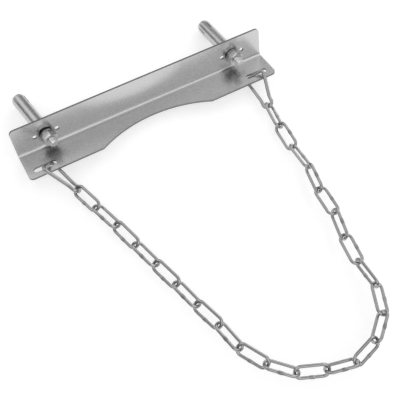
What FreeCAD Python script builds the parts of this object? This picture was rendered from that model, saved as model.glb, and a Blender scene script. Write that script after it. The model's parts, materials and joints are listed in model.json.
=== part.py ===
import FreeCAD, Part
import math
import os
import Sketcher

# Gas cylinder bracket: a folded steel angle with an arc for the cylinder, two expansion anchors
# for the wall, and a chain that runs from one slot in the flange, round the cylinder, to the other.
#
# Frame, in mm: X runs along the plate with 0 at mid-length, Y = 0 is the wall face with +Y into
# the wall, and Z = 0 is the level of the holes in the wall plate. The flange points to the front
# (-Y). Pieces are first placed over the flange's underside, then all are lowered by hole_level.

DIMENSIONS = (
    ("plate_length", 265.0, "along the wall"),
    ("plate_height", 35.0, "wall plate, from the flange underside"),
    ("flange_depth", 35.0, "flange, from the wall face"),
    ("sheet_thickness", 2.0, "folded sheet"),
    ("bend_radius", 3.0, "inside the fold"),
    ("corner_radius", 4.5, "four outer corners"),
    ("arc_radius", 120.0, "cylinder recess in the flange"),
    ("arc_setback", 139.75, "arc centre in front of the wall face"),
    ("anchor_inset", 32.0, "anchor hole from the plate end"),
    ("hole_level", 17.5, "height of all wall plate holes"),
    ("anchor_hole", 11.0, "diameter"),
    ("screw_hole", 4.5, "diameter"),
    ("screw_offset", 11.25, "screw holes each side of the anchor hole"),
    ("slot_length", 23.0, "chain slot, over its round ends"),
    ("slot_width", 6.0, "chain slot"),
    ("slot_inset", 18.0, "slot middle from the plate end"),
    ("slot_setback", 26.0, "slot middle in front of the wall face"),
    ("stud_diameter", 7.9, "M8 stud over its thread"),
    ("stud_front", 19.5, "stud end in front of the wall face"),
    ("anchor_depth", 54.5, "anchor end behind the wall face"),
    ("stud_chamfer", 1.2, "on the stud's front end"),
    ("cone_length", 12.0, "expander cone at the stud's back end"),
    ("cone_diameter", 12.6, "expander cone's rim"),
    ("cone_rim", 2.6, "length of the cone's full diameter"),
    ("sleeve_diameter", 14.0, "expansion sleeve, outside"),
    ("sleeve_bore", 8.3, "expansion sleeve, inside"),
    ("sleeve_setback", 3.2, "sleeve's front end behind the wall face"),
    ("sleeve_round", 0.8, "rounding of the sleeve's back edge"),
    ("sleeve_gap", 0.8, "from the sleeve's back end to the cone's rim"),
    ("slit_width", 1.1, "four slits at the sleeve's back end"),
    ("slit_length", 12.0, "four slits at the sleeve's back end"),
    ("washer_diameter", 18.0, "flat washer, outside"),
    ("washer_bore", 9.0, "flat washer, inside"),
    ("washer_thickness", 1.6, "flat washer"),
    ("spring_diameter", 14.8, "spring washer, outside"),
    ("spring_thickness", 2.0, "spring washer"),
    ("spring_split", 1.6, "width of the spring washer's split"),
    ("nut_flats", 13.0, "across flats"),
    ("nut_height", 6.5, "hexagon nut"),
    ("nut_bevel", 30.0, "angle of the nut's end bevels"),
    ("thread_play", 0.2, "bores over the stud, on the diameter"),
    ("seat_play", 0.1, "between stacked pieces"),
    ("link_wire", 3.0, "chain wire diameter"),
    ("link_width", 14.0, "chain link, outside"),
    ("link_pitch", 26.0, "inside length of a chain link"),
    ("link_play", 0.7, "between the wires where two links meet"),
    ("weld_diameter", 3.5, "weld bead at the middle of one side"),
    ("weld_length", 5.0, "length of the weld bead"),
    ("end_wire", 3.5, "end link wire diameter"),
    ("end_base", 21.1, "end link base, wire middle to wire middle"),
    ("end_length", 38.0, "end link from base to eye, wire middles"),
    ("end_eye", 9.7, "end link eye, wire middle to wire middle"),
    ("end_eye_length", 5.5, "straight stretch of the eye"),
    ("end_corner", 3.5, "end link base corners, on the wire middle"),
    ("end_neck", 12.0, "end link necks, on the wire middle"),
    ("chain_tilt", 14.0, "degrees that the chain's plane falls towards the front"),
    ("chain_height", 4.0, "of the wire crossings over the chain's plane"),
)

# How each anchor stands in its hole: how far it is off the hole's middle along the plate, yaw and
# pitch of its back end, and the turns of its slits and of its nut, in degrees.
ANCHORS = {"left": (-0.4, -8.0, 4.0, 61.0, -17.0), "right": (-1.0, -2.4, 1.0, 17.0, -20.0)}

# How the chain lies in its own plane, from the left slot to the right one: where its first link meets
# the left end link, and each link's heading in degrees.
FIRST_CONTACT = (-98, -59)
LEFT_LEG_HEADINGS = (-72, -72, -74, -74, -73, -75, -72, -78)
BEND_HEADINGS = (-60, -45, -23, -14, 16, 41, 69)
RIGHT_LEG_HEADINGS = (94, 84, 78, 89, 81, 94, 88, 84)

# Links lean to alternate sides: (last link of a stretch, roll of its odd links, of its even links).
ROLLS = ((11, 43, -34), (13, 42, -43), (15, 26, -54), (16, 26, 94), (20, 3, -72), (23, 42, -45))

# Where the end links' base wires pass through the slots: distance from mid-length, height over the
# flange's underside and roll in degrees.
END_LINKS = {"left": (-112.8, 5.5, 39.0), "right": (111.5, 1.9, -35.0)}

X_AXIS = FreeCAD.Vector(1, 0, 0)
Y_AXIS = FreeCAD.Vector(0, 1, 0)
Z_AXIS = FreeCAD.Vector(0, 0, 1)

document = FreeCAD.newDocument("gas_cylinder_bracket")
sheet = document.addObject("Spreadsheet::Sheet", "dims")


def vector(x, y, z=0.0):
    return FreeCAD.Vector(x, y, z)


def fill_sheet():
    """One row for each driving dimension: what it is, its value and its alias."""
    for row, (name, value, note) in enumerate(DIMENSIONS, start=1):
        sheet.set("A%d" % row, note)
        sheet.set("B%d" % row, str(value))
        sheet.setAlias("B%d" % row, name)
    document.recompute()


def dim(name):
    return float(sheet.get(name))


# ---------------------------------------------------------------- sketches and features

def new_body(label):
    body = document.addObject("PartDesign::Body", label)
    body.Label = label
    return body


def origin_feature(body, role):
    return [item for item in body.Origin.OriginFeatures if item.Role == role][0]


def new_sketch(body, role, name):
    sketch = body.newObject("Sketcher::SketchObject", name)
    sketch.AttachmentSupport = [(origin_feature(body, role), "")]
    sketch.MapMode = "FlatFace"
    return sketch


def add_polygon(sketch, points):
    for start, end in zip(points, points[1:] + points[:1]):
        sketch.addGeometry(Part.LineSegment(start, end), False)


def add_circle(sketch, centre, diameter_formula):
    """A circle whose diameter follows the sheet."""
    index = sketch.addGeometry(Part.Circle(centre, Z_AXIS, 1.0), False)
    constraint = sketch.addConstraint(Sketcher.Constraint("Diameter", index, 2.0))
    sketch.setExpression("Constraints[%d]" % constraint, diameter_formula)


def add_rounded(sketch, start, corners, radii):
    """A closed outline from start round the corners, each of them rounded by its own radius."""
    points = [start] + corners + [start]
    pen = start
    for before, corner, after, radius in zip(points, corners, points[2:], radii):
        along = (corner - before).normalize()
        away = (after - corner).normalize()
        half_turn = along.getAngle(away) / 2
        entry = corner - along * radius * math.tan(half_turn)
        leaving = corner + away * radius * math.tan(half_turn)
        crown = corner + (away - along).normalize() * radius * (1 / math.cos(half_turn) - 1)
        if (entry - pen).Length > 1e-6:
            sketch.addGeometry(Part.LineSegment(pen, entry), False)
        sketch.addGeometry(Part.Arc(entry, crown, leaving), False)
        pen = leaving
    if (start - pen).Length > 1e-6:
        sketch.addGeometry(Part.LineSegment(pen, start), False)


def add_pad(body, sketch, name, formula):
    pad = body.newObject("PartDesign::Pad", name)
    pad.Profile = sketch
    pad.setExpression("Length", formula)
    return pad


def add_through_pocket(body, sketch, name):
    """Cuts the sketch both ways through the sheet that it lies in."""
    pocket = body.newObject("PartDesign::Pocket", name)
    pocket.Profile = sketch
    pocket.Type = "ThroughAll"
    pocket.Midplane = True
    return pocket


def add_turned(body, sketch, name):
    """Turns a half profile, drawn on XZ, about the body's Z axis."""
    turned = body.newObject("PartDesign::Revolution", name)
    turned.Profile = sketch
    turned.ReferenceAxis = (origin_feature(body, "Z_Axis"), [""])
    turned.Angle = 360.0
    return turned


def add_round_wire(body, path, section, name):
    """Runs the wire's round section along its path."""
    wire = body.newObject("PartDesign::AdditivePipe", name)
    wire.Profile = section
    wire.Spine = (path, [])
    return wire


def edges_where(shape, test):
    return ["Edge%d" % (i + 1) for i, edge in enumerate(shape.Edges) if test(edge)]


# ---------------------------------------------------------------- folded plate

def make_bracket_plate():
    body = new_body("bracket_plate")
    half_length = dim("plate_length") / 2
    height = dim("plate_height")
    depth = dim("flange_depth")
    thickness = dim("sheet_thickness")

    # The fold's section, seen along X: outside and inside of the bend share one centre.
    section = new_sketch(body, "YZ_Plane", "fold_section")
    inner = dim("bend_radius")
    outer = inner + thickness
    diagonal = math.sqrt(0.5)
    bend = vector(-outer, outer)
    corners = [
        vector(-depth, thickness), vector(-depth, 0), vector(-outer, 0),
        vector(0, outer), vector(0, height), vector(-thickness, height),
        vector(-thickness, outer), vector(-outer, thickness),
    ]
    for start, end in ((7, 0), (0, 1), (1, 2), (3, 4), (4, 5), (5, 6)):
        section.addGeometry(Part.LineSegment(corners[start], corners[end]), False)
    for start, end, radius in ((2, 3, outer), (6, 7, inner)):
        crown = bend + vector(radius * diagonal, -radius * diagonal)
        section.addGeometry(Part.Arc(corners[start], crown, corners[end]), False)
    angle = add_pad(body, section, "folded_angle", "dims.plate_length")
    angle.Midplane = True
    document.recompute()

    def is_outer_corner(edge):
        middle = edge.CenterOfMass
        at_end = abs(abs(middle.x) - half_length) < 1e-3
        at_top = abs(middle.z - height) < 1e-3 or abs(middle.y + depth) < 1e-3
        return at_end and at_top and abs(edge.Length - thickness) < 1e-3

    rounding = body.newObject("PartDesign::Fillet", "outer_corners")
    rounding.Base = (angle, edges_where(angle.Shape, is_outer_corner))
    rounding.setExpression("Radius", "dims.corner_radius")
    document.recompute()

    recess = new_sketch(body, "XY_Plane", "cylinder_recess")
    add_circle(recess, vector(0, -dim("arc_setback")), "2 * dims.arc_radius")
    add_through_pocket(body, recess, "cylinder_arc")

    slot = new_sketch(body, "XY_Plane", "slot_outline")
    middle = vector(dim("slot_inset") - half_length, -dim("slot_setback"))
    reach = vector(dim("slot_length") / 2, 0)
    rise = vector(0, dim("slot_width") / 2)
    outline = [middle + reach + rise, middle + reach - rise, middle - reach - rise, middle - reach + rise]
    add_rounded(slot, middle + rise, outline, [rise.y] * 4)
    slot_cut = add_through_pocket(body, slot, "chain_slot")

    holes = new_sketch(body, "XZ_Plane", "wall_holes")
    anchor_hole = vector(dim("anchor_inset") - half_length, dim("hole_level"))
    add_circle(holes, anchor_hole, "dims.anchor_hole")
    for side in (-1, 1):
        add_circle(holes, anchor_hole + vector(side * dim("screw_offset"), 0), "dims.screw_hole")
    holes_cut = add_through_pocket(body, holes, "anchor_and_screw_holes")
    document.recompute()

    other_end = body.newObject("PartDesign::Mirrored", "right_end")
    other_end.Originals = [slot_cut, holes_cut]
    other_end.MirrorPlane = (origin_feature(body, "YZ_Plane"), [""])
    body.Tip = other_end
    return body


# ---------------------------------------------------------------- wall anchors
# Each anchor is drawn upright, with Z = 0 at the wall face, +Z into the wall and the nut below.

def make_stud(label):
    body = new_body(label)
    radius = dim("stud_diameter") / 2
    rim_radius = dim("cone_diameter") / 2
    front = -dim("stud_front")
    back = dim("anchor_depth")
    rim = dim("cone_rim")
    bevel = dim("stud_chamfer")
    profile = new_sketch(body, "XZ_Plane", "stud_profile")
    add_polygon(profile, [
        vector(0, front), vector(radius - bevel, front), vector(radius, front + bevel),
        vector(radius, back - dim("cone_length")), vector(rim_radius, back - rim),
        vector(rim_radius, back - rim / 2), vector(rim_radius - rim / 2, back), vector(0, back),
    ])
    add_turned(body, profile, "turned_stud")
    return body


def make_sleeve(label, slit_turn):
    body = new_body(label)
    back = dim("anchor_depth") - dim("cone_rim") - dim("sleeve_gap")
    front = dim("sleeve_setback")
    outer = dim("sleeve_diameter") / 2
    inner = dim("sleeve_bore") / 2
    edge = dim("sleeve_round")
    taper = dim("cone_length") - dim("cone_rim")
    flare = (dim("cone_diameter") - dim("stud_diameter")) / 2 / taper
    mouth = inner + flare * (taper - dim("sleeve_gap"))
    profile = new_sketch(body, "XZ_Plane", "sleeve_profile")
    points = [
        vector(inner, front), vector(outer, front), vector(outer, back - edge),
        vector(outer - edge / 4, back), vector(mouth, back), vector(inner, back - taper + dim("sleeve_gap")),
    ]
    add_polygon(profile, points)
    tube = add_turned(body, profile, "turned_sleeve")
    tube.Refine = True

    slit = new_sketch(body, "XY_Plane", "slit_outline")
    slit_start = vector(0, 0, back - dim("slit_length"))
    slit.AttachmentOffset = FreeCAD.Placement(slit_start, FreeCAD.Rotation(Z_AXIS, slit_turn))
    half = dim("slit_width") / 2
    reach = outer + 1
    add_polygon(slit, [
        vector(-reach, -half), vector(reach, -half), vector(reach, half), vector(-reach, half)])
    cut = body.newObject("PartDesign::Pocket", "slit_pair")
    cut.Profile = slit
    cut.Reversed = True
    cut.Type = "ThroughAll"
    document.recompute()

    pattern = body.newObject("PartDesign::PolarPattern", "four_slits")
    pattern.Originals = [cut]
    pattern.Axis = (origin_feature(body, "Z_Axis"), [""])
    pattern.Angle = 90.0
    pattern.Occurrences = 2
    body.Tip = pattern
    return body


def make_ring(label, outer_formula, bore_formula, thickness_formula):
    """A plain ring that stands on Z = 0."""
    body = new_body(label)
    outline = new_sketch(body, "XY_Plane", "ring_outline")
    add_circle(outline, vector(0, 0), outer_formula)
    add_circle(outline, vector(0, 0), bore_formula)
    add_pad(body, outline, "ring", thickness_formula)
    document.recompute()
    return body


def make_spring_washer(label):
    body = make_ring(label, "dims.spring_diameter", "dims.stud_diameter + 2 * dims.thread_play",
                     "dims.spring_thickness")
    outer = dim("spring_diameter") / 2 + 1
    half = dim("spring_split") / 2
    lean = dim("spring_thickness")
    split = new_sketch(body, "XZ_Plane", "split_outline")
    add_polygon(split, [
        vector(-half - lean / 2, -1), vector(half - lean / 2, -1),
        vector(half + lean / 2, lean + 1), vector(-half + lean / 2, lean + 1)])
    cut = body.newObject("PartDesign::Pocket", "slanted_split")
    cut.Profile = split
    cut.Length = outer
    return body


def make_nut(label):
    body = new_body(label)
    flats = dim("nut_flats")
    height = dim("nut_height")
    corner = flats / math.sqrt(3)
    outline = new_sketch(body, "XY_Plane", "hexagon")
    turns = [math.radians(60 * k) for k in range(6)]
    add_polygon(outline, [vector(corner * math.cos(a), corner * math.sin(a)) for a in turns])
    add_circle(outline, vector(0, 0), "dims.stud_diameter + dims.thread_play")
    add_pad(body, outline, "hexagon_prism", "dims.nut_height")
    document.recompute()

    # The corners are bevelled at both ends, from the circle that the flats touch outwards.
    bevels = new_sketch(body, "XZ_Plane", "bevel_profile")
    outside = corner + 1
    start = flats / 2
    drop = (outside - start) * math.tan(math.radians(dim("nut_bevel")))
    for end, inwards in ((0, 1), (height, -1)):
        add_polygon(bevels, [
            vector(start, end), vector(outside, end + inwards * drop), vector(outside, end - inwards),
            vector(start, end - inwards)])
    groove = body.newObject("PartDesign::Groove", "corner_bevels")
    groove.Profile = bevels
    groove.ReferenceAxis = (origin_feature(body, "Z_Axis"), [""])
    groove.Angle = 360.0
    return body


def axis_placement(position, z_direction, turn=0.0):
    """Puts a body's Z axis along the direction, after a turn about it."""
    rotation = FreeCAD.Rotation(Z_AXIS, z_direction) * FreeCAD.Rotation(Z_AXIS, turn)
    return FreeCAD.Placement(position, rotation)


def make_anchor(side):
    offset, yaw, pitch, slit_turn, nut_turn = ANCHORS[side]
    yaw, pitch = math.radians(yaw), math.radians(pitch)
    half_span = dim("plate_length") / 2 - dim("anchor_inset")
    hole = -half_span if side == "left" else half_span
    centre = vector(hole + offset, 0, dim("hole_level"))
    inwards = vector(math.sin(yaw) * math.cos(pitch), math.cos(yaw) * math.cos(pitch), math.sin(pitch))
    tilt = inwards.getAngle(Y_AXIS)

    # The anchor pivots where its axis passes the middle of the sheet.
    pivot = centre - Y_AXIS * dim("sheet_thickness") / 2
    root = pivot + inwards * dim("sheet_thickness") / 2
    stud = make_stud(side + "_anchor_stud")
    stud.Placement = axis_placement(root, inwards)
    sleeve = make_sleeve(side + "_anchor_sleeve", slit_turn)
    sleeve.Placement = axis_placement(root, inwards)

    # The flat washer lies on the sheet, round the stud where it leaves the sheet.
    sheet_front = dim("sheet_thickness")
    washer_level = -sheet_front - dim("washer_thickness")
    washer = make_ring(side + "_flat_washer", "dims.washer_diameter", "dims.washer_bore",
                       "dims.washer_thickness")
    washer_mid = root + inwards * (washer_level + dim("washer_thickness") / 2) / math.cos(tilt)
    washer.Placement = axis_placement(vector(washer_mid.x, washer_level, washer_mid.z), Y_AXIS)

    # The spring washer stands square on the stud and touches the flat washer at one edge.
    spring_tip = dim("spring_diameter") / 2 * math.tan(tilt) + dim("seat_play")
    spring_level = washer_level / math.cos(tilt) - spring_tip - dim("spring_thickness")
    spring = make_spring_washer(side + "_spring_washer")
    spring.Placement = axis_placement(root + inwards * spring_level, inwards)

    nut_level = spring_level - dim("seat_play") - dim("nut_height")
    nut = make_nut(side + "_hex_nut")
    nut.Placement = axis_placement(root + inwards * nut_level, inwards, nut_turn)
    return [stud, sleeve, washer, spring, nut]


# ---------------------------------------------------------------- chain

def plane_axes():
    """The chain's plane falls towards the front: across, up the slope, and square to it."""
    tilt = math.radians(dim("chain_tilt"))
    return X_AXIS, vector(0, math.cos(tilt), math.sin(tilt)), vector(0, -math.sin(tilt), math.cos(tilt))


def in_plane(point):
    across, up_slope, square = plane_axes()
    return across * point[0] + up_slope * point[1] + square * dim("chain_height")


def step(heading):
    """One link's pitch along a heading, in the chain's plane."""
    angle = math.radians(heading)
    return complex(math.cos(angle), math.sin(angle)) * dim("link_pitch")


def contacts():
    """Where each two links of the chain meet, in its plane, with both end links' contacts."""
    points = [complex(*FIRST_CONTACT)]
    for heading in LEFT_LEG_HEADINGS + BEND_HEADINGS + RIGHT_LEG_HEADINGS:
        points.append(points[-1] + step(heading))
    return [in_plane((point.real, point.imag)) for point in points]


def link_roll(number):
    odd, even = [(odd, even) for last, odd, even in ROLLS if number <= last][0]
    return odd if number % 2 else even


def wire_placement(position, along, width, width_turn):
    """X along the link, Y across it after a turn about X from the direction given as width."""
    turned = FreeCAD.Rotation(along, width_turn).multVec(width)
    rotation = FreeCAD.Rotation(along, turned, along.cross(turned), "XYZ")
    return FreeCAD.Placement(position, rotation)


def make_chain_link(label):
    """A long link that lies along X, its wire bent to two half rounds, with its weld on one side."""
    body = new_body(label)
    wire = dim("link_wire")
    half_length = (dim("link_pitch") + dim("link_play") + wire) / 2
    half_width = (dim("link_width") - wire) / 2
    path = new_sketch(body, "XY_Plane", "link_path")
    corners = [vector(half_length, half_width), vector(half_length, -half_width),
               vector(-half_length, -half_width), vector(-half_length, half_width)]
    add_rounded(path, vector(0, half_width), corners, [half_width] * 4)
    section = new_sketch(body, "YZ_Plane", "wire_section")
    add_circle(section, vector(half_width, 0), "dims.link_wire")
    document.recompute()
    add_round_wire(body, path, section, "bent_wire")

    weld = new_sketch(body, "XY_Plane", "weld_profile")
    half_bead = dim("weld_length") / 2
    inner_edge = -half_width - wire / 2
    crown = -half_width - dim("weld_diameter") / 2
    weld.addGeometry(Part.Arc(vector(-half_bead, inner_edge), vector(0, crown), vector(half_bead, inner_edge)))
    weld.addGeometry(Part.LineSegment(vector(half_bead, inner_edge), vector(half_bead, -half_width)))
    weld.addGeometry(Part.LineSegment(vector(half_bead, -half_width), vector(-half_bead, -half_width)))
    weld.addGeometry(Part.LineSegment(vector(-half_bead, -half_width), vector(-half_bead, inner_edge)))
    bead = body.newObject("PartDesign::Revolution", "weld_bead")
    bead.Profile = weld
    bead.ReferenceAxis = (weld, ["Edge3"])
    bead.Angle = 360.0
    return body


def make_end_link(label):
    """A triangular link from its base, on Y at X = 0, to its eye along +X."""
    body = new_body(label)
    base, eye, length = dim("end_base") / 2, dim("end_eye") / 2, dim("end_length")
    neck = length - eye - dim("end_eye_length")
    path = new_sketch(body, "XY_Plane", "link_path")
    side = [vector(0, base), vector(neck, eye), vector(length, eye)]
    radii = [dim("end_corner"), dim("end_neck"), eye]
    other_side = [vector(point.x, -point.y) for point in reversed(side)]
    add_rounded(path, vector(0, 0), side + other_side, radii + radii[::-1])
    section = new_sketch(body, "XZ_Plane", "wire_section")
    add_circle(section, vector(0, 0), "dims.end_wire")
    document.recompute()
    add_round_wire(body, path, section, "bent_wire")
    return body


def make_chain(meeting_points):
    square = plane_axes()[2]
    links = []
    for number, (start, end) in enumerate(zip(meeting_points, meeting_points[1:]), start=1):
        along = (end - start).normalize()
        link = make_chain_link("chain_link_%02d" % number)
        link.Placement = wire_placement((start + end) / 2, along, square.cross(along), link_roll(number))
        links.append(link)
    return links


def make_hanging_link(side, meeting):
    """Hangs an end link between its slot and the wire crossing with the chain's last link."""
    base_x, base_z, roll = END_LINKS[side]
    reach = dim("end_length") - (dim("end_wire") + dim("link_play")) / 2
    rise_y = math.sqrt(reach ** 2 - (meeting.x - base_x) ** 2 - (meeting.z - base_z) ** 2)
    base = vector(base_x, meeting.y + rise_y, base_z)
    along = (meeting - base).normalize()
    link = make_end_link(side + "_end_link")
    link.Placement = wire_placement(base, along, along.cross(Z_AXIS).normalize(), -roll)
    return link


# ---------------------------------------------------------------- build, check and write

def check(bodies):
    """Every feature is sound, and every body is one valid solid."""
    for item in document.Objects:
        if "Invalid" in item.State or "Error" in item.State:
            raise RuntimeError("%s: %s" % (item.Label, item.State))
    for body in bodies:
        shape = body.Shape
        if shape.isNull() or not shape.isValid() or len(shape.Solids) != 1:
            raise RuntimeError(body.Label + " isn't one valid solid")


def main():
    fill_sheet()
    bodies = [make_bracket_plate()]
    for side in ("left", "right"):
        bodies += make_anchor(side)
    meeting_points = contacts()
    bodies += make_chain(meeting_points)
    bodies.append(make_hanging_link("left", meeting_points[0]))
    bodies.append(make_hanging_link("right", meeting_points[-1]))
    for body in bodies:
        body.Placement.Base.z -= dim("hole_level")
    document.recompute()
    check(bodies)
    os.makedirs("parts", exist_ok=True)
    for body in bodies:
        body.Shape.exportStep("parts/%s.step" % body.Label)


main()
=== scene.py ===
import json
import math
import bpy
from mathutils import Euler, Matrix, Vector


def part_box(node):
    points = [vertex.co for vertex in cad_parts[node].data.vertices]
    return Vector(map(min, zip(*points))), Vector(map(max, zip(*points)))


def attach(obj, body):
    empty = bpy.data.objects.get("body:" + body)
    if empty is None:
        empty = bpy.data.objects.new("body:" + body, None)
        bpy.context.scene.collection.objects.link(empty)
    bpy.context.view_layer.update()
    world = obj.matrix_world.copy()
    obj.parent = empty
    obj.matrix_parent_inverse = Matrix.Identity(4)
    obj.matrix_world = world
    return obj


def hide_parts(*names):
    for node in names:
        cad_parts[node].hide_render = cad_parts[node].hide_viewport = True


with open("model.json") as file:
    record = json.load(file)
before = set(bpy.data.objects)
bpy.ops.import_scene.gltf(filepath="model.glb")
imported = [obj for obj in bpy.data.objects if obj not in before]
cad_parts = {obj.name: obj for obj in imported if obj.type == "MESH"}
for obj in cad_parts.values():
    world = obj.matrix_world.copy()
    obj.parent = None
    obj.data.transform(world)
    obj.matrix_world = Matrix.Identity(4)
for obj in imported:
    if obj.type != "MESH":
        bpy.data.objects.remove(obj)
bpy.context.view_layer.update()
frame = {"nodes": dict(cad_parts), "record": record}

nodes = frame["nodes"]
mounts = {mount["name"]: mount for mount in frame["record"]["mounts"]}

# Lengths are in metres, and grey levels are linear, from 0 to 1.

# The table falls towards the front, just under the chain, and passes TABLE_GAP under the fold.
TABLE_TILT = math.radians(16.0)
TABLE_GAP = 0.004
TABLE_REACH = 40.0
TABLE_LEVEL = 0.66
TABLE_GLOW = 0.5

# Texture scales, in features per metre.
CLOUD_SCALE = 55.0
SPECK_SCALE = 900.0

# The fold's outside radius and a little more, beyond which the sheet is flat.
FOLD_REACH = 0.0055
SHEARED_LEVEL = 0.16

WELD_REACH = 0.0042
WELD_HALF_LENGTH = 0.0012
WELD_LEVEL = 0.24

THREAD_PITCH = 0.00125
THREAD_DEPTH = 0.00068
THREAD_LENGTH = 0.016
THREAD_SIDES = 64
THREAD_ROWS = 12
STUD_BEVEL = 0.0012
CONE_LENGTH = 0.012
CONE_RIM = 0.0026
ROUNDING = 0.000001

# Each lamp's name, place, target, width, height and power in watts.
LAMPS = (
    ("key", (-0.5, 0.35, 1.0), (0, -0.1, -0.03), 1.4, 1.0, 2.6),
    ("back_right", (0.95, 0.40, 0.62), (0, -0.05, -0.03), 0.8, 0.8, 2.6),
    ("fill", (0.9, -0.5, 0.8), (0, -0.15, -0.05), 1.2, 1.2, 2.6),
    ("front", (-0.2, -1.2, 0.5), (0, -0.1, -0.05), 1.4, 0.8, 2.8),
)

CAMERA_PLACE = (-0.15465, -0.50541, 0.47396)
CAMERA_TURN = (38.767, 4.375, -28.907)
CAMERA_LENS = 64.52
CAMERA_SHIFT = (-0.0393, -0.0115)

table_normal = Vector((0, -math.sin(TABLE_TILT), math.cos(TABLE_TILT)))
table_point = Vector((0, 0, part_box("bracket_plate")[0][2] - TABLE_GAP))


# ---------------------------------------------------------------- node helpers

class Graph:
    """Builds one node tree; every method but add and plug returns the new node's output socket."""

    def __init__(self, tree):
        self.tree = tree
        self.tree.nodes.clear()

    def add(self, kind, settings=None, inputs=None):
        node = self.tree.nodes.new(kind)
        for name, value in (settings or {}).items():
            setattr(node, name, value)
        for name, value in (inputs or {}).items():
            self.plug(node, name, value)
        return node

    def plug(self, node, name, value):
        if isinstance(value, bpy.types.NodeSocket):
            self.tree.links.new(value, node.inputs[name])
        else:
            node.inputs[name].default_value = value

    def math(self, operation, a, b=0.0, clamp=False):
        node = self.add("ShaderNodeMath", {"operation": operation, "use_clamp": clamp}, {0: a, 1: b})
        return node.outputs[0]

    def vector_math(self, operation, a, b=(0.0, 0.0, 0.0)):
        node = self.add("ShaderNodeVectorMath", {"operation": operation}, {0: a, 1: b})
        return node.outputs["Value" if operation in ("DISTANCE", "DOT_PRODUCT") else "Vector"]

    def spread(self, value, low, high, new_low=0.0, new_high=1.0):
        """Maps low..high to new_low..new_high, smoothly and within those limits."""
        node = self.add("ShaderNodeMapRange", {"interpolation_type": "SMOOTHSTEP"}, {
            "Value": value, "From Min": low, "From Max": high,
            "To Min": new_low, "To Max": new_high})
        return node.outputs["Result"]

    def noise(self, place, scale, detail, roughness):
        node = self.add("ShaderNodeTexNoise", None, {
            "Vector": place, "Scale": scale, "Detail": detail, "Roughness": roughness})
        return node.outputs["Fac"]

    def mix(self, share, a, b):
        node = self.add("ShaderNodeMix", {"data_type": "RGBA"}, {0: share, 6: a, 7: b})
        return node.outputs[2]


def grey(level):
    return (level, level, level, 1.0)


# ---------------------------------------------------------------- steel

def metal(name, level, roughness, grain, grain_depth, edge_light=0.0, edge_width=0.0,
          rough_spread=0.04, tone_spread=0.05, line_tone=0.12, cut=None, spot=None):
    """Satin steel. grain stretches the surface's fine lines: small factors run along the grain.

    edge_light brightens the corners, cut finds the sheared faces and spot is a weld's middle.
    """
    material = bpy.data.materials.new(name)
    material.use_nodes = True
    graph = Graph(material.node_tree)
    place = graph.add("ShaderNodeTexCoord").outputs["Object"]
    lines = graph.noise(graph.vector_math("MULTIPLY", place, grain), 1.0, 4.0, 0.6)
    cloud = graph.noise(place, CLOUD_SCALE, 4.0, 0.55)
    speck = graph.noise(place, SPECK_SCALE, 2.0, 0.5)

    tone = graph.mix(graph.spread(cloud, 0.3, 0.7),
                     grey(level * (1 - tone_spread)), grey(level * (1 + tone_spread)))
    bright_lines = graph.math("MULTIPLY", graph.spread(lines, 0.45, 0.75), line_tone)
    tone = graph.mix(bright_lines, tone, grey(0.8))
    cloudy = graph.spread(cloud, 0.25, 0.75, -rough_spread, rough_spread)
    lined = graph.spread(lines, 0.3, 0.7, -rough_spread, rough_spread)
    rough = graph.math("ADD", graph.math("ADD", cloudy, roughness), lined, clamp=True)

    if edge_light:
        rounded = graph.add("ShaderNodeBevel", {"samples": 4}, {"Radius": edge_width})
        straight = graph.add("ShaderNodeNewGeometry")
        turn = graph.vector_math("DOT_PRODUCT", rounded.outputs["Normal"], straight.outputs["Normal"])
        edge = graph.math("MULTIPLY", graph.spread(turn, 0.98, 0.85), edge_light)
        tone = graph.mix(edge, tone, grey(0.92))
    if cut is not None:
        sheared = cut(graph, place)
        tone = graph.mix(graph.math("MULTIPLY", sheared, 0.85), tone, grey(SHEARED_LEVEL))
        rough = graph.math("ADD", rough, graph.math("MULTIPLY", sheared, 0.2), clamp=True)
    if spot is not None:
        near = graph.spread(graph.vector_math("DISTANCE", place, spot), WELD_REACH, WELD_REACH * 0.4)
        near = graph.math("MULTIPLY", near, graph.spread(speck, 0.25, 0.6, 0.5, 1.0))
        tone = graph.mix(near, tone, grey(WELD_LEVEL))
        rough = graph.math("ADD", rough, graph.math("MULTIPLY", near, 0.22), clamp=True)

    height = graph.math("ADD", graph.math("MULTIPLY", lines, 0.7), graph.math("MULTIPLY", speck, 0.3))
    bump = graph.add("ShaderNodeBump", None, {
        "Height": height, "Strength": 0.5, "Distance": grain_depth})
    surface = graph.add("ShaderNodeBsdfPrincipled", None, {
        "Base Color": tone, "Roughness": rough, "Metallic": 1.0, "Normal": bump.outputs["Normal"]})
    graph.add("ShaderNodeOutputMaterial", None, {"Surface": surface.outputs["BSDF"]})
    return material


def cut_faces(graph, place):
    """1 on the sheet's sheared faces: the flange's upright ones, and those around the wall plate."""
    facing = graph.add("ShaderNodeNewGeometry").outputs["True Normal"]
    normal = graph.add("ShaderNodeSeparateXYZ", None, {0: facing}).outputs
    spot = graph.add("ShaderNodeSeparateXYZ", None, {0: place}).outputs
    low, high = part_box("bracket_plate")
    on_flange = graph.math("LESS_THAN", spot["Y"], high[1] - FOLD_REACH)
    on_wall = graph.math("GREATER_THAN", spot["Z"], low[2] + FOLD_REACH)
    upright = graph.math("LESS_THAN", graph.math("ABSOLUTE", normal["Z"]), 0.5)
    across_wall = graph.math("LESS_THAN", graph.math("ABSOLUTE", normal["Y"]), 0.5)
    end = graph.math("GREATER_THAN", graph.math("ABSOLUTE", normal["X"]), 0.9)
    flange_cut = graph.math("MULTIPLY", on_flange, upright)
    wall_cut = graph.math("MULTIPLY", on_wall, across_wall)
    return graph.math("ADD", graph.math("ADD", flange_cut, wall_cut), end, clamp=True)


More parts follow.
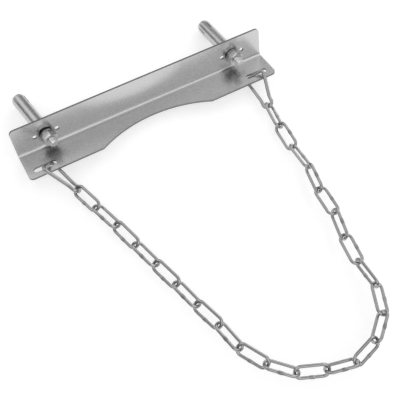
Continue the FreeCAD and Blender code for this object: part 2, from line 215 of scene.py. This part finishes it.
def weld_spot(piece):
    """A point on a link's weld, which is where its wire stands out most beside the link's middle."""
    points = [piece.matrix_world @ vertex.co for vertex in piece.data.vertices]
    low, high = (Vector(corner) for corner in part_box(piece.name))
    middle = (low + high) / 2
    along = (max(points, key=lambda p: (p - middle).length) - middle).normalized()

    def from_axis(point):
        arm = point - middle
        return (arm - along * arm.dot(along)).length

    near_middle = [p for p in points if abs((p - middle).dot(along)) < WELD_HALF_LENGTH]
    return max(near_middle, key=from_axis)


def dress(piece, material):
    piece.data.materials.clear()
    piece.data.materials.append(material)


BRIGHT_WIRE = {"level": 0.38, "roughness": 0.07, "grain": (1400, 1400, 1400), "grain_depth": 0.00001}
stud_steel = metal("zinc_stud", 0.66, 0.24, (900, 900, 900), 0.00003,
                   edge_light=0.4, edge_width=0.0004)
steel_by_ending = {
    "plate": metal("satin_sheet", 0.62, 0.275, (160, 4200, 4200), 0.000001,
                   rough_spread=0.01, tone_spread=0.015, line_tone=0.03, cut=cut_faces),
    "washer": metal("zinc_washer", 0.46, 0.22, (1500, 1500, 1500), 0.00004,
                    edge_light=0.25, edge_width=0.0003),
    "nut": metal("zinc_nut", 0.72, 0.18, (1200, 1200, 1200), 0.00004,
                 edge_light=0.45, edge_width=0.0005),
    "sleeve": metal("zinc_sleeve", 0.54, 0.27, (1800, 300, 1800), 0.00003,
                    edge_light=0.3, edge_width=0.0004),
    "stud": stud_steel,
    "end_link": metal("bright_wire", **BRIGHT_WIRE),
}

for name, piece in nodes.items():
    if name.startswith("chain_link"):
        dress(piece, metal("wire_" + name[-2:], spot=weld_spot(piece), **BRIGHT_WIRE))
    for ending, steel in steel_by_ending.items():
        if name.endswith(ending):
            dress(piece, steel)


# ---------------------------------------------------------------- threaded studs

def threaded_stud(side, material):
    """The anchor's stud with its thread cut in; its outline is the CAD stud's."""
    solid = nodes[side + "_anchor_stud"]
    axis = Vector(mounts[side + "_anchor"]["axis"]).normalized()
    through = Vector(mounts[side + "_anchor"]["pos_m"])
    reach = [(vertex.co - through).dot(axis) for vertex in solid.data.vertices]
    front, back = min(reach), max(reach) - ROUNDING
    radii = [(vertex.co - through - axis * along).length
             for vertex, along in zip(solid.data.vertices, reach)]
    radius = max(value for value, along in zip(radii, reach) if along < front + CONE_LENGTH)
    rim_radius = max(radii)
    across = axis.orthogonal().normalized()
    up = axis.cross(across)
    points = []

    def add_ring(along, radius_at):
        for side_number in range(THREAD_SIDES):
            turn = 2 * math.pi * side_number / THREAD_SIDES
            arm = across * math.cos(turn) + up * math.sin(turn)
            points.append(through + axis * along + arm * radius_at(turn))

    for row in range(int(THREAD_LENGTH / THREAD_PITCH * THREAD_ROWS)):
        depth = THREAD_PITCH * row / THREAD_ROWS

        def thread_radius(turn):
            phase = (depth / THREAD_PITCH - turn / (2 * math.pi)) % 1.0
            flank = min(1.0, max(0.0, abs(2 * phase - 1) * 1.35 - 0.15))
            return min(radius - THREAD_DEPTH * (1 - flank), radius - STUD_BEVEL + depth)
        add_ring(front + depth, thread_radius)
    for along, plain_radius in (
            (front + THREAD_LENGTH, radius), (back - CONE_LENGTH, radius),
            (back - CONE_RIM, rim_radius), (back - CONE_RIM / 2, rim_radius),
            (back, rim_radius - CONE_RIM / 2)):
        add_ring(along, lambda turn: plain_radius)

    starts = range(0, len(points) - THREAD_SIDES, THREAD_SIDES)
    faces = []
    for start in starts:
        for here in range(THREAD_SIDES):
            beside = (here + 1) % THREAD_SIDES
            faces.append((start + THREAD_SIDES + here, start + THREAD_SIDES + beside,
                          start + beside, start + here))
    faces.append(tuple(range(THREAD_SIDES)))
    faces.append(tuple(range(len(points) - THREAD_SIDES, len(points)))[::-1])
    mesh = bpy.data.meshes.new(side + "_threaded_stud")
    mesh.from_pydata([tuple(point) for point in points], [], faces)
    mesh.update()
    mesh.polygons.foreach_set("use_smooth", [len(face) == 4 for face in faces])
    mesh.materials.append(material)
    stud = bpy.data.objects.new(side + "_threaded_stud", mesh)
    bpy.context.scene.collection.objects.link(stud)
    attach(stud, "bracket")
    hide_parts(side + "_anchor_stud")


threaded_stud("left", stud_steel)
threaded_stud("right", stud_steel)


# ---------------------------------------------------------------- table, lights and camera

def plain_floor():
    """A plain table that shows white to the camera and in the steel, and keeps the shadow."""
    across = Vector((1, 0, 0)) * TABLE_REACH
    up_slope = table_normal.cross(Vector((1, 0, 0))) * TABLE_REACH
    corners = [table_point - across - up_slope, table_point + across - up_slope,
               table_point + across + up_slope, table_point - across + up_slope]
    mesh = bpy.data.meshes.new("table_top")
    mesh.from_pydata([tuple(corner) for corner in corners], [], [(0, 1, 2, 3)])
    material = bpy.data.materials.new("white_table")
    material.use_nodes = True
    graph = Graph(material.node_tree)
    surface = graph.add("ShaderNodeBsdfDiffuse", None, {"Color": grey(TABLE_LEVEL)})
    path = graph.add("ShaderNodeLightPath").outputs
    seen = graph.math("ADD", path["Is Camera Ray"], path["Is Glossy Ray"])
    seen = graph.math("ADD", seen, path["Is Transmission Ray"], clamp=True)
    glow = graph.add("ShaderNodeEmission", None, {
        "Color": grey(1.0), "Strength": graph.math("MULTIPLY", seen, TABLE_GLOW)})
    both = graph.add("ShaderNodeAddShader", None, {0: surface.outputs[0], 1: glow.outputs[0]})
    graph.add("ShaderNodeOutputMaterial", None, {"Surface": both.outputs[0]})
    mesh.materials.append(material)
    floor = bpy.data.objects.new("table_top", mesh)
    bpy.context.scene.collection.objects.link(floor)


def softbox(name, position, target, width, height, power):
    light = bpy.data.lights.new(name, "AREA")
    light.shape = "RECTANGLE"
    light.size = width
    light.size_y = height
    light.energy = power
    lamp = bpy.data.objects.new(name, light)
    lamp.location = position
    lamp.rotation_euler = (Vector(target) - Vector(position)).to_track_quat("-Z", "Y").to_euler()
    bpy.context.scene.collection.objects.link(lamp)


def studio_world():
    """A white room that is darker towards the horizon, so that metal shows light and dark."""
    world = bpy.data.worlds.new("studio")
    world.use_nodes = True
    bpy.context.scene.world = world
    graph = Graph(world.node_tree)
    direction = graph.add("ShaderNodeTexCoord").outputs["Generated"]
    rise = graph.vector_math("DOT_PRODUCT", direction, tuple(table_normal))
    room = graph.spread(rise, 0.05, 0.85, 0.20, 0.62)
    background = graph.add("ShaderNodeBackground", None, {"Color": grey(1.0), "Strength": room})
    graph.add("ShaderNodeOutputWorld", None, {"Surface": background.outputs["Background"]})


def photo_camera():
    camera = bpy.data.cameras.new("camera")
    camera.sensor_width = 36.0
    camera.lens = CAMERA_LENS
    camera.shift_x, camera.shift_y = CAMERA_SHIFT
    camera.clip_start = 0.01
    camera.clip_end = 20.0
    seen_from = bpy.data.objects.new("camera", camera)
    seen_from.location = CAMERA_PLACE
    seen_from.rotation_euler = Euler([math.radians(angle) for angle in CAMERA_TURN])
    bpy.context.scene.collection.objects.link(seen_from)
    bpy.context.scene.camera = seen_from


plain_floor()
studio_world()
for lamp_settings in LAMPS:
    softbox(*lamp_settings)
photo_camera()
bpy.context.scene.view_settings.view_transform = "Standard"
